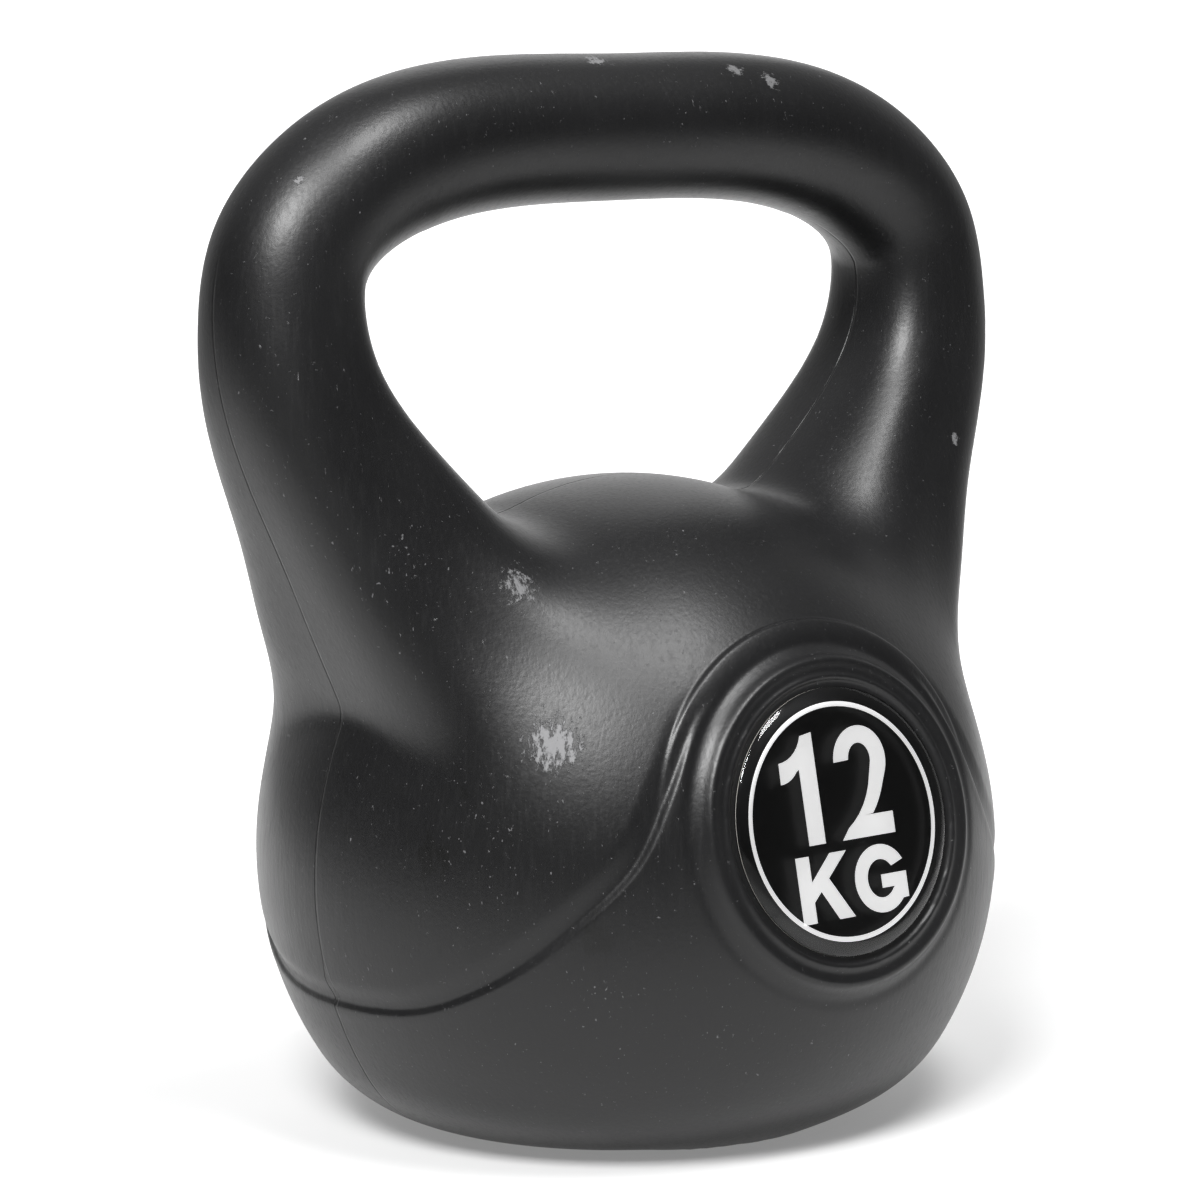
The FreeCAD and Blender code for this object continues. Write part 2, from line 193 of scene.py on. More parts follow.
def spline(places, values, wanted):
    """Natural cubic spline through values at places."""
    gaps = np.diff(places)
    slopes = np.diff(values, axis=0) / gaps[:, None]
    matrix = np.eye(len(places))
    right = np.zeros_like(values)
    for k in range(1, len(places) - 1):
        matrix[k, k - 1:k + 2] = gaps[k - 1], 2 * (gaps[k - 1] + gaps[k]), gaps[k]
        right[k] = 6 * (slopes[k] - slopes[k - 1])
    bends = np.linalg.solve(matrix, right)
    k = np.clip(np.searchsorted(places, wanted) - 1, 0, len(gaps) - 1)
    gap = gaps[k][:, None]
    before = wanted[:, None] - places[k][:, None]
    after = gap - before
    return (bends[k] * after ** 3 + bends[k + 1] * before ** 3) / (6 * gap) + (
        values[k] / gap - bends[k] * gap / 6) * after + (
        values[k + 1] / gap - bends[k + 1] * gap / 6) * before


def handle_line():
    """Closely spaced points of the whole centreline with their tangents and section sizes."""
    left = STATIONS[-2::-1] * np.array([-1, 1, 1, 1, 1, 1])
    stations = np.vstack([STATIONS, left])
    lengths = np.concatenate([[0], np.cumsum(np.hypot(*np.diff(stations[:, :2], axis=0).T))])
    line = spline(lengths, stations, np.linspace(0, lengths[-1], LINE_STEPS))
    along = np.gradient(line[:, :2], axis=0)
    along /= np.linalg.norm(along, axis=1, keepdims=True)
    return line, along


LINE, ALONG = handle_line()


def nearest_on_line(across, up):
    """Section sizes at the nearest centreline point, and the outward offset from it."""
    place = np.stack([across, up], axis=-1)
    best = np.zeros(len(place), int)
    least = np.full(len(place), np.inf)
    for k, point in enumerate(LINE[:, :2]):
        gap = ((place - point) ** 2).sum(1)
        closer = gap < least
        best[closer] = k
        least[closer] = gap[closer]
    step = np.hypot(*(LINE[1, :2] - LINE[0, :2]))
    ahead = ((place - LINE[best, :2]) * ALONG[best]).sum(1) / step
    exact = np.clip(best + ahead, 0, len(LINE) - 1.001)
    low = exact.astype(int)
    share = (exact - low)[:, None]
    section = LINE[low] * (1 - share) + LINE[low + 1] * share
    along = ALONG[low] * (1 - share) + ALONG[low + 1] * share
    offset = place - section[:, :2]
    outward = offset[:, 0] * along[:, 1] - offset[:, 1] * along[:, 0]
    return section, outward


def handle_field(section, outward, deep):
    """Distance to the superellipse section, and how far round it the point lies (1 outer, -1 inner)."""
    full = np.where(outward > 0, section[..., 4], section[..., 5])
    across = np.abs(outward) / section[..., 2]
    depth = np.abs(deep) / section[..., 3]
    level = (across ** full + depth ** full) ** (1 / full) + 1e-9
    reach = np.hypot(outward, deep)
    side = outward / section[..., 2] / np.hypot(across, depth).clip(1e-9)
    return reach - reach / level, side


def ball_field(across, deep, up):
    """Distance to the sphere with its rounded edge and flat base."""
    radius = np.hypot(across, deep)
    sphere = np.hypot(radius, up - BALL_MIDDLE) - BALL_RADIUS
    torus = np.hypot(radius - BASE_RADIUS, up - EDGE_RADIUS) - EDGE_RADIUS
    steep = (BALL_MIDDLE - EDGE_RADIUS) / BASE_RADIUS
    low = (up - EDGE_RADIUS) < -steep * (radius - BASE_RADIUS)
    ball = np.where(low & (radius > BASE_RADIUS), torus, sphere)
    return np.where(radius <= BASE_RADIUS, np.maximum(sphere, -up), ball)


def soft_union(first, second, width):
    """Union of two fields, with the crease between them rounded over a width."""
    overlap = np.clip(width - np.abs(first - second), 0, None) / width
    return np.minimum(first, second) - overlap ** 3 * width / 6


def shell_field(points):
    """Field of the plain shell, with the label seats but without the fine relief."""
    across, deep, up = points.T
    section, outward = nearest_on_line(across, up)
    handle, side = handle_field(section, outward, deep)
    return join_field(across, deep, up, handle, side)


def join_field(across, deep, up, handle, side):
    """Ball and handle, with a blend whose width changes round each leg, and the base and seats cut off."""
    outer, inner = np.clip(side, 0, 1) ** 2, np.clip(-side, 0, 1) ** 2
    width = BLEND_FLANK - (BLEND_FLANK - BLEND_OUTER) * outer - (BLEND_FLANK - BLEND_INNER) * inner
    field = soft_union(ball_field(across, deep, up), handle, width)
    field = np.maximum(field, -up)
    for way in (-1, 1):
        right, tilt, out = label_axes(way)
        height = out[1] * deep + out[2] * (up - BALL_MIDDLE)
        radius = np.hypot(right[0] * across, tilt[1] * deep + tilt[2] * (up - BALL_MIDDLE))
        pocket = -soft_union(SEAT_RADIUS - radius, height - SEAT_DISTANCE + SEAT_CLEAR, SEAT_ROUND)
        field = -soft_union(-field, pocket, SEAT_ROUND)
    return field


def field_grid():
    """The field on a regular grid, with the centreline looked up once for each column."""
    low = np.array(GRID_LOW)
    counts = np.ceil((np.array(GRID_HIGH) - low) / CELL).astype(int) + 1
    xs, ys, zs = (low[k] + CELL * np.arange(counts[k]) for k in range(3))
    across, up = (grid.ravel() for grid in np.meshgrid(xs, zs, indexing="ij"))
    section, outward = nearest_on_line(across, up)
    values = np.empty(tuple(counts))
    for k, deep in enumerate(ys):
        handle, side = handle_field(section, outward, np.full(len(across), deep))
        layer = join_field(across, np.full(len(across), deep), up, handle, side)
        values[:, k, :] = layer.reshape(counts[0], counts[2])
    return values, low


def surface_net(values, low):
    """Quad mesh with one vertex in every grid cell that the surface crosses."""
    cells = np.array(values.shape) - 1
    total = np.zeros((cells.prod(), 3))
    count = np.zeros(cells.prod())
    quads = []
    for axis in range(3):
        first = np.take(values, range(values.shape[axis] - 1), axis)
        last = np.take(values, range(1, values.shape[axis]), axis)
        place = np.argwhere((first < 0) != (last < 0))
        start, end = first[tuple(place.T)], last[tuple(place.T)]
        point = place.astype(float)
        point[:, axis] += start / (start - end)
        around = []
        for back_one, back_two in ((0, 0), (1, 0), (1, 1), (0, 1)):
            cell = place.copy()
            cell[:, (axis + 1) % 3] -= back_one
            cell[:, (axis + 2) % 3] -= back_two
            flat = np.ravel_multi_index(tuple(cell.T), tuple(cells))
            np.add.at(total, flat, point)
            np.add.at(count, flat, 1)
            around.append(flat)
        around = np.stack(around, axis=1)
        quads.append(np.where((start < 0)[:, None], around, around[:, ::-1]))
    used = np.flatnonzero(count)
    renumber = np.full(cells.prod(), -1)
    renumber[used] = np.arange(len(used))
    vertices = low + CELL * total[used] / count[used][:, None]
    return vertices, renumber[np.vstack(quads)]


def field_normals(points, step=0.05):
    """Unit normals of the field at points, and the length of its slope there."""
    slope = np.stack([shell_field(points + step * unit) - shell_field(points - step * unit)
                      for unit in np.eye(3)], axis=1) / (2 * step)
    length = np.linalg.norm(slope, axis=1, keepdims=True).clip(1e-6)
    return slope / length, length[:, 0]


def settle(points, rounds=2):
    """Move points onto the surface of the field."""
    for _ in range(rounds):
        normals, length = field_normals(points)
        points = points - normals * np.clip(shell_field(points) / length, -2, 2)[:, None]
    return points


def relax(points, quads, rounds=3):
    """Even out the mesh along its surface."""
    edges = np.vstack([quads[:, [k, (k + 1) % 4]] for k in range(4)])
    edges = np.vstack([edges, edges[:, ::-1]])
    degree = np.bincount(edges[:, 0], minlength=len(points))[:, None]
    for _ in range(rounds):
        mean = np.stack([np.bincount(edges[:, 0], points[edges[:, 1], k], len(points))
                         for k in range(3)], axis=1) / degree
        points = settle(points + 0.5 * (mean - points), 1)
    return points


# ---- fine relief of the shell ----

def smooth_step(low, high, value):
    """Share that rises smoothly from 0 at low to 1 at high."""
    share = np.clip((value - low) / (high - low), 0, 1)
    return share * share * (3 - 2 * share)


def ball_point(turn, height):
    """Point of the ball's surface at a turn from the front, in degrees, and a height."""
    sphere = np.sqrt(np.clip(BALL_RADIUS ** 2 - (height - BALL_MIDDLE) ** 2, 0, None))
    rounded = BASE_RADIUS + np.sqrt(np.clip(EDGE_RADIUS ** 2 - (height - EDGE_RADIUS) ** 2, 0, None))
    radius = np.minimum(sphere, np.where(height < EDGE_RADIUS, rounded, sphere))
    angle = np.radians(turn)
    return np.stack([radius * np.sin(angle), -radius * np.cos(angle), height], axis=1)


def wave_line():
    """Points along one quarter of the wave line, from the side of the ball to over the label."""
    knots = np.array(WAVE, float)
    whole = np.vstack([(180 - knots[1, 0], knots[1, 1]), knots])
    steps = np.diff(whole, axis=0) * (WAVE_TURN_WEIGHT, 1)
    places = np.concatenate([[0], np.cumsum(np.hypot(*steps.T))])
    turn, height = spline(places, whole, np.linspace(places[1], places[-1], WAVE_STEPS)).T
    return ball_point(turn, height)


def label_polar(points, side):
    """Radius round the label's axis and the turn from its upright, for points on that side."""
    right, up, out = label_axes(side)
    local = points - np.array([0, 0, BALL_MIDDLE])
    across, tall, height = local @ right, local @ up, local @ out
    radius = np.where(height > 0, np.hypot(across, tall), 1e3)
    return radius, np.degrees(np.arctan2(across, tall))


def beside_wave(points):
    """For each point: share of the way along the wave line, distance above it and over the ball there."""
    line = wave_line()
    quarter = np.abs(points) * (1, -1, 1)
    near = np.zeros(len(points), int)
    least = np.full(len(points), np.inf)
    for k, point in enumerate(line):
        gap = ((quarter - point) ** 2).sum(1)
        closer = gap < least
        near[closer] = k
        least[closer] = gap[closer]
    ahead = np.gradient(line, axis=0)
    ahead /= np.linalg.norm(ahead, axis=1, keepdims=True)
    outward = line - (0, 0, BALL_MIDDLE)
    outward /= np.linalg.norm(outward, axis=1, keepdims=True)
    upper = np.cross(ahead, outward)
    upper *= np.sign(upper[0, 2])
    offset = quarter - line[near]
    share = near / (len(line) - 1)
    return share, (offset * upper[near]).sum(1), np.abs((offset * outward[near]).sum(1))


def groove_relief(points):
    """Wave groove: a gentle slope on its upper side and a short steep wall on its lower side."""
    share, above, over = beside_wave(points)
    slope = 1 - smooth_step(0, GROOVE_SLOPE, above)
    wall = smooth_step(-GROOVE_WALL, 0, above)
    strength = 1 - smooth_step(GROOVE_FADE, 1.0, share)
    lip = LIP_RISE * np.exp(-((above + LIP_BELOW) / LIP_WIDTH) ** 2)
    on_ball = smooth_step(GROOVE_FAR, GROOVE_NEAR, over)
    return strength * on_ball * (lip - GROOVE_DEPTH * slope * wall)


def label_relief(points):
    """Bead round each label, and the collar that steps up over its top."""
    relief = np.zeros(len(points))
    for side in (-1, 1):
        radius, turn = label_polar(points, side)
        bead = BEAD_RISE * np.exp(-((radius - BEAD_RADIUS) / BEAD_WIDTH) ** 2 * BEAD_SHARPNESS)
        rim = RIM_RISE * np.exp(-((radius - SEAT_RADIUS - RIM_OUT) / RIM_WIDTH) ** 2)
        top = smooth_step(COLLAR_END, COLLAR_FULL, np.abs(turn))
        step = smooth_step(COLLAR_RADIUS + COLLAR_OUTSIDE, COLLAR_RADIUS - COLLAR_INSIDE, radius)
        fall = smooth_step(COLLAR_FOOT, COLLAR_RADIUS - COLLAR_CREST, radius)
        valley = -VALLEY_DEPTH * np.exp(-((radius - VALLEY_RADIUS) / VALLEY_WIDTH) ** 2)
        relief += np.where(radius < RING_REACH, bead + rim + valley + top * COLLAR_RISE * step * fall, 0)
    return relief


def relief(points):
    """Height of the fine relief over the plain shell."""
    return groove_relief(points) + label_relief(points)


def refine(bm, wanted):
    """Split every face whose middle is wanted into four, keeping the mesh closed."""
    middles = np.array([face.calc_center_median() for face in bm.faces])
    chosen = {edge for face, keep in zip(list(bm.faces), wanted(middles)) if keep for edge in face.edges}
    bmesh.ops.subdivide_edges(bm, edges=list(chosen), cuts=1, use_grid_fill=True)


def near_relief(points, reach=SPLIT_REACH):
    """Which points lie near the wave line or a label's rings."""
    line = wave_line()[::4]
    quarter = np.abs(points) * (1, -1, 1)
    gap = np.full(len(points), np.inf)
    for point in line:
        gap = np.minimum(gap, ((quarter - point) ** 2).sum(1))
    return (np.sqrt(gap) < reach) | near_ring(points)


def near_ring(points):
    """Which points lie among the rings of either label."""
    radii = [label_polar(points, side)[0] for side in (-1, 1)]
    return np.any([(radius > SEAT_RADIUS - RING_INSIDE) & (radius < COLLAR_RADIUS + RING_OUTSIDE)
                   for radius in radii], axis=0)


def open_base(bm):
    """Cut the plug's recess and the fill hole into the flat base, with clean round edges."""
    cut = [face for face in bm.faces
           if face.calc_center_median().z < BASE_HEIGHT
           and math.hypot(*face.calc_center_median().xy) < RECESS_RADIUS + RECESS_MARGIN]
    bmesh.ops.delete(bm, geom=cut, context="FACES")
    rim = [edge for edge in bm.edges if edge.is_boundary]
    rings = []
    for radius, height in ((RECESS_RADIUS + RECESS_BEVEL, 0), (RECESS_RADIUS, RECESS_BEVEL),
                           (RECESS_RADIUS, RECESS_DEPTH), (HOLE_RADIUS, RECESS_DEPTH),
                           (HOLE_RADIUS, FLOOR_THICK)):
        ring = bmesh.ops.create_circle(bm, segments=RIM_SEGMENTS, radius=radius)["verts"]
        for vertex in ring:
            vertex.co.z = height
        rings.append({edge for vertex in ring for edge in vertex.link_edges})
    bmesh.ops.triangle_fill(bm, use_beauty=True, edges=rim + list(rings[0]))
    for outer, inner in zip(rings, rings[1:]):
        bmesh.ops.bridge_loops(bm, edges=list(outer) + list(inner))


def soften_corners(bm):
    """Round the tight inner corners of the window, where the section turns about its own edge."""
    near = [vertex for vertex in bm.verts
            if math.hypot(abs(vertex.co.x) - CORNER_ACROSS, vertex.co.z - CORNER_UP) < CORNER_REACH]
    for _ in range(CORNER_ROUNDS):
        bmesh.ops.smooth_vert(bm, verts=near, factor=0.5, use_axis_x=True, use_axis_y=True, use_axis_z=True)


def displace(mesh):
    """Settle the points of the mesh on the field, raise the relief, and keep inside the CAD box."""
    points = np.array([vertex.co for vertex in mesh.vertices])
    flat = points[:, 2] < FLAT_HEIGHT
    moved = settle(points)
    normals, _ = field_normals(moved)
    moved = moved + normals * relief(moved)[:, None]
    moved[flat] = points[flat] * (1, 1, 0)
    moved = np.clip(moved, *(np.array(corner) / MM for corner in size_at_load))
    mesh.vertices.foreach_set("co", moved.ravel())


def build_shell():
    """Skin of ball and handle with its relief and open base, which stands for the moulded shell."""
    values, low = field_grid()
    points, quads = surface_net(values, low)
    points = relax(settle(points), quads)
    mesh = bpy.data.meshes.new("shell_skin")
    mesh.from_pydata(points.tolist(), [], quads.tolist())
    bm = bmesh.new()
    bm.from_mesh(mesh)
    refine(bm, near_relief)
    refine(bm, lambda middles: near_relief(middles, FINE_REACH))
    bm.to_mesh(mesh)
    displace(mesh)
    bm.clear()
    bm.from_mesh(mesh)
    soften_corners(bm)
    open_base(bm)
    bmesh.ops.recalc_face_normals(bm, faces=bm.faces)
    bmesh.ops.scale(bm, vec=(MM, MM, MM), verts=bm.verts)
    bm.to_mesh(mesh)
    bm.free()
    return finish_piece("shell_skin", mesh, "shell_plastic", replaced="shell")


def finish_piece(name, mesh, slot, replaced=None, material=None, smooth=True):
    """Make an object of a mesh in the part's own frame, fixed to its body."""
    piece = bpy.data.objects.new(name, mesh)
    bpy.context.scene.collection.objects.link(piece)
    mesh.polygons.foreach_set("use_smooth", [smooth] * len(mesh.polygons))
    mesh.materials.append(material or MATERIALS[slot])
    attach(piece, "root")
    if replaced:
        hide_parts(replaced)
    return piece


# ---- materials ----

class Shader:
    """Small helper that adds and links nodes of one material."""

    def __init__(self, name):
        self.material = bpy.data.materials.new(name)
        self.material.use_nodes = True
        self.nodes = self.material.node_tree.nodes
        self.links = self.material.node_tree.links
        self.surface = self.nodes["Principled BSDF"]
        self.output = self.nodes["Material Output"]
        self.place = self.add("ShaderNodeTexCoord").outputs["Object"]

    def add(self, kind, **settings):
        node = self.nodes.new(kind)
        for name, value in settings.items():
            setattr(node, name, value)
        return node

    def feed(self, socket, value):
        if isinstance(value, bpy.types.NodeSocket):
            self.links.new(value, socket)
        else:
            socket.default_value = value

    def math(self, operation, *values, clamp=False):
        node = self.add("ShaderNodeMath", operation=operation, use_clamp=clamp)
        for socket, value in zip(node.inputs, values):
            self.feed(socket, value)
        return node.outputs[0]

    def noise(self, scale, detail=3.0, roughness=0.5, stretch=(1, 1, 1)):
        """Noise in the part's own frame, drawn out along the axes where stretch is small."""
        mapping = self.add("ShaderNodeMapping")
        mapping.inputs["Scale"].default_value = stretch
        self.feed(mapping.inputs["Vector"], self.place)
        node = self.add("ShaderNodeTexNoise")
        self.feed(node.inputs["Vector"], mapping.outputs[0])
        node.inputs["Scale"].default_value = scale
        node.inputs["Detail"].default_value = detail
        node.inputs["Roughness"].default_value = roughness
        return node.outputs["Fac"]

    def range(self, value, from_low, from_high, to_low=0.0, to_high=1.0):
        node = self.add("ShaderNodeMapRange", interpolation_type="SMOOTHSTEP")
        for socket, given in zip(node.inputs, (value, from_low, from_high, to_low, to_high)):
            self.feed(socket, given)
        return node.outputs[0]

    def mix(self, share, first, second):
        node = self.add("ShaderNodeMix", data_type="RGBA")
        self.feed(node.inputs["Factor"], share)
        self.feed(node.inputs[6], first)
        self.feed(node.inputs[7], second)
        return node.outputs[2]

    def bump(self, height, distance, strength=1.0):
        """Add a layer of relief over those already there; distance is in metres."""
        node = self.add("ShaderNodeBump")
        node.inputs["Strength"].default_value = strength
        node.inputs["Distance"].default_value = distance
        self.feed(node.inputs["Height"], height)
        if self.surface.inputs["Normal"].is_linked:
            self.feed(node.inputs["Normal"], self.surface.inputs["Normal"].links[0].from_socket)
        self.links.new(node.outputs[0], self.surface.inputs["Normal"])


def plastic(name, colour, roughness):
    """Black polyethylene with orange peel, fine scratches and flow marks."""
    shader = Shader(name)
    cloud = shader.noise(14, 4)
    scratch = shader.noise(900, 2, 0.6, (1, 1, 0.08))
    tone = shader.mix(shader.range(cloud, 0.35, 0.7), colour, tuple(1.35 * c for c in colour[:3]) + (1,))
    shader.feed(shader.surface.inputs["Base Color"], tone)
    rough = shader.math("ADD", shader.range(cloud, 0.3, 0.75, roughness - 0.03, roughness + 0.05),
                        shader.range(scratch, 0.45, 0.75, 0.0, 0.06))
    shader.feed(shader.surface.inputs["Roughness"], rough)
    shader.surface.inputs["IOR"].default_value = 1.48
    shader.bump(shader.noise(850, 2), 0.0002, 0.22)
    shader.bump(scratch, 0.0001, 0.3)
    return shader


def around(shader, place, reach):
    """Mask that is 1 at a place in millimetres and fades out over the reach."""
    node = shader.add("ShaderNodeVectorMath", operation="DISTANCE")
    shader.feed(node.inputs[0], shader.place)
    node.inputs[1].default_value = [MM * value for value in place]
    return shader.range(node.outputs["Value"], 0.0, MM * reach, 1.0, 0.0)


def strongest(shader, masks):
    """Mask that takes the highest of the given masks everywhere."""
    total = masks[0]
    for mask in masks[1:]:
        total = shader.math("MAXIMUM", total, mask)
    return total


def wear(shader):
    """Pale scuffs, dark smears and small specks."""
    scuffs = []
    for place, reach, stretch, strength in SCUFFS:
        ragged = shader.math("MULTIPLY_ADD", shader.noise(SCUFF_GRAIN, 5, 0.7, stretch), RAGGED,
                             around(shader, place, reach))
        scuffs.append(shader.math("MULTIPLY", shader.range(ragged, SCUFF_STARTS, SCUFF_WHOLE), strength))
    scuff = strongest(shader, scuffs)
    smears = [shader.math("MULTIPLY_ADD", shader.noise(SMEAR_GRAIN, 4, 0.7, (1, 1, 0.35)), RAGGED,
                          around(shader, place, reach)) for place, reach in SMEARS]
    smear = shader.range(strongest(shader, smears), SMEAR_STARTS, SMEAR_WHOLE)
    speckled = strongest(shader, [around(shader, place, reach) for place, reach in SPECKLED])
    specks = shader.math("ADD", shader.math("MULTIPLY", speckled, SPECK_CROWDING),
                         shader.noise(SPECK_GRAIN, 1, 0.5, (1, 1, 0.7)))
    speck = shader.range(specks, SPECK_STARTS, SPECK_WHOLE)
    base = shader.surface.inputs["Base Color"].links[0].from_socket
    dark = shader.mix(smear, base, SMEAR_COLOUR)
    specked = shader.mix(speck, dark, SPECK_COLOUR)
    shader.feed(shader.surface.inputs["Base Color"], shader.mix(scuff, specked, SCUFF_COLOUR))
    rough = shader.surface.inputs["Roughness"].links[0].from_socket
    shader.feed(shader.surface.inputs["Roughness"],
                shader.math("ADD", rough, shader.math("MULTIPLY", scuff, SCUFF_ROUGHNESS)))
    shader.bump(scuff, 0.0002, 0.5)


def parting_line(shader):
    """Fine seam of the two mould halves in the plane of the handle, which fades out below the grip."""
    split = shader.add("ShaderNodeSeparateXYZ")
    shader.feed(split.inputs[0], shader.place)
    _, deep, up = split.outputs
    wander = shader.math("MULTIPLY", shader.math("SUBTRACT", shader.noise(25, 2), 0.5), SEAM_SWAY)
    nick = shader.math("MULTIPLY", around(shader, NICK, NICK_REACH), NICK_WIDTH)
    gap = shader.math("SUBTRACT", shader.math("ABSOLUTE", shader.math("ADD", deep, wander)), nick)
    line = shader.range(gap, SEAM_INNER, SEAM_OUTER, 1.0, 0.0)
    uneven = shader.range(shader.noise(60, 3), 0.35, 0.6, 0.25, 1.0)
    below = shader.range(up, SEAM_FADES, SEAM_ENDS, 1.0, 0.0)
    seam = shader.math("MULTIPLY", shader.math("MULTIPLY", line, uneven), below)
    shader.bump(seam, -SEAM_DEPTH, 0.8)
    base = shader.surface.inputs["Base Color"].links[0].from_socket
    shader.feed(shader.surface.inputs["Base Color"], shader.mix(seam, base, SEAM_COLOUR))


def grained(name, grain, colours):
    """Material whose colour drifts between two close tones; grain holds the settings of its noise."""
    shader = Shader(name)
    drift = shader.noise(*grain)
    shader.feed(shader.surface.inputs["Base Color"], shader.mix(drift, *colours))
    return shader, drift


def hidden_materials():
    """Cement, drawn steel bar and adhesive, which lie inside or under other pieces."""
    cement, grain = grained("cement", (380, 5, 0.65), CEMENT_COLOURS)
    cement.surface.inputs["Roughness"].default_value = 0.92
    cement.bump(grain, 0.001, 0.6)
    steel, drawn = grained("bar_steel", (500, 3, 0.5, (1, 1, 0.05)), STEEL_COLOURS)
    steel.surface.inputs["Metallic"].default_value = 1.0
    steel.feed(steel.surface.inputs["Roughness"], steel.range(drawn, 0.3, 0.7, 0.3, 0.5))
    glue, _ = grained("label_adhesive", (300,), GLUE_COLOURS)
    glue.surface.inputs["Roughness"].default_value = 0.4
    return {"cement": cement.material, "bar_steel": steel.material, "label_adhesive": glue.material}


def make_materials():
    """Material of each slot."""
    shell = plastic("shell_plastic", SHELL_COLOUR, SHELL_ROUGHNESS)
    wear(shell)
    parting_line(shell)
    plug = plastic("plug_plastic", PLUG_COLOUR, PLUG_ROUGHNESS)
    film, _ = grained("label_film", (160,), FILM_COLOURS)
    film.surface.inputs["Roughness"].default_value = 0.35
    return {"shell_plastic": shell.material, "plug_plastic": plug.material, "label_film": film.material,
            "label_dome": clear_resin(), **hidden_materials()}


def clear_resin():
    """Clear resin: the print shows through, and the surface mirrors the lights."""
    shader = Shader("label_dome")
    shader.nodes.remove(shader.surface)
    gloss = shader.add("ShaderNodeBsdfGlossy")
    smear = shader.noise(90, 3)
    shader.feed(gloss.inputs["Roughness"], shader.range(smear, 0.35, 0.75, 0.03, 0.1))
    clear = shader.add("ShaderNodeBsdfTransparent")
    fresnel = shader.add("ShaderNodeFresnel")
    fresnel.inputs["IOR"].default_value = 1.5
    blend = shader.add("ShaderNodeMixShader")
    shader.feed(blend.inputs[0], fresnel.outputs[0])
    shader.links.new(clear.outputs[0], blend.inputs[1])
    shader.links.new(gloss.outputs[0], blend.inputs[2])
    shader.links.new(blend.outputs[0], shader.output.inputs["Surface"])
    return shader.material


def make_ink_with_painted_glow():
    """White print with a painted glow, which keeps it bright under the clear dome."""
    ink_with_painted_glow, _ = grained("label_ink_painted_glow", (400, 4), INK_COLOURS)
    ink_with_painted_glow.surface.inputs["Roughness"].default_value = 0.4
    # Painted light: the print glows though it is no lamp
    ink_with_painted_glow.surface.inputs["Emission Color"].default_value = WHITE
    ink_with_painted_glow.surface.inputs["Emission Strength"].default_value = INK_PAINTED_GLOW
    return ink_with_painted_glow.material


# ---- labels ----

def on_label(side, points):
    """Turn points given as right, up and height over the film into the part's frame, in metres."""
    right, up, out = label_axes(side)
    points = np.asarray(points, float)
    placed = (points[:, :1] * right + points[:, 1:2] * up + (points[:, 2:] + FILM_TOP) * out)
    return (placed + (0, 0, BALL_MIDDLE)) * MM


def turned(profile, count=160):
    """Points and faces of a profile of (radius, height) turned about the label's axis."""
    angles = np.linspace(0, 2 * math.pi, count, endpoint=False)
    points = [(radius * math.cos(angle), radius * math.sin(angle), height)
              for radius, height in profile for angle in angles]
    faces = []
    for row in range(len(profile) - 1):
        for k in range(count):
            after = (k + 1) % count
            faces.append((row * count + k, row * count + after, (row + 1) * count + after,
                          (row + 1) * count + k))
    return points, faces


def dome_profile():
    """Lens with a well rounded edge and a shallow crown."""
    run = DOME_ROUND * math.sin(DOME_TURN)
    drop = DOME_ROUND * (1 - math.cos(DOME_TURN))
    profile = [(LABEL_RADIUS, 0.0)]
    for k in range(DOME_STEPS + 1):
        angle = DOME_TURN * (1 - k / DOME_STEPS)
        profile.append((LABEL_RADIUS - run + DOME_ROUND * math.sin(angle),
                        drop - DOME_ROUND * (1 - math.cos(angle)) + DOME_LIFT))
    shoulder = profile[-1]
    for k in range(1, DOME_STEPS + 1):
        share = 1 - k / DOME_STEPS
        profile.append((max(shoulder[0] * share, 0.02),
                        DOME_MIDDLE - (DOME_MIDDLE - shoulder[1]) * share ** 2))
    return profile


def arc(centre, radii, start, end, count):
    """Points of an elliptical arc between two angles in degrees."""
    angles = [math.radians(start + (end - start) * k / (count - 1)) for k in range(count)]
    return [(centre[0] + radii[0] * math.cos(angle), centre[1] + radii[1] * math.sin(angle))
            for angle in angles]


def glyphs():
    """Outlines of the weight mark: two digits over two letters, drawn as plain bold shapes."""
    one = [(-6.6, 23.5), (-6.6, -4.8), (-12.0, -4.8), (-12.0, 14.6)] + arc(
        (-18.4, 19.6), (7.5, 8.2), -42, -90, 6) + arc((-18.6, 25.6), (8.6, 8.8), -88, -18, 8)
    two = arc((8.0, 14.6), (8.6, 8.9), 178, -22, 24) + arc((-6.0, 16.2), (22.0, 22.6), -22, -43, 6) + [
        (7.2, 0.6), (16.6, 0.6), (16.6, -4.9), (-1.0, -4.9)] + arc(
        (-8.5, 14.6), (19.4, 19.4), -59, -20, 6) + arc((7.9, 14.8), (3.6, 4.3), -10, 176, 16)
    kay = [(-17.2, -7.3), (-12.8, -7.3), (-12.8, -13.9), (-6.0, -7.3), (-0.5, -7.3), (-7.2, -13.6),
           (-0.2, -24.2), (-5.4, -24.2), (-10.2, -16.6), (-12.8, -19.0), (-12.8, -24.2), (-17.2, -24.2)]
    gee = arc((9.8, -15.9), (8.7, 8.7), 28, 318, 40) + [(18.2, -21.6), (18.2, -15.0), (9.8, -15.0),
          (9.8, -18.4), (14.0, -18.4)] + arc((9.8, -15.9), (4.5, 4.9), -36, -326, 32)
    return {"digit_one": one, "digit_two": two, "letter_k": kay, "letter_g": gee}


def flat_piece(name, side, outline, ink_with_painted_glow):
    """Thin flat print with the given outline."""
    bm = bmesh.new()
    face = bm.faces.new([bm.verts.new(point) for point in on_label(
        side, [(x, y, PRINT_LIFT) for x, y in outline])])
    face.normal_update()
    bmesh.ops.triangulate(bm, faces=[face], ngon_method="EAR_CLIP")
    mesh = bpy.data.meshes.new(name)
    bm.to_mesh(mesh)
    bm.free()
    return finish_piece(name, mesh, "label_film", material=ink_with_painted_glow, smooth=False)


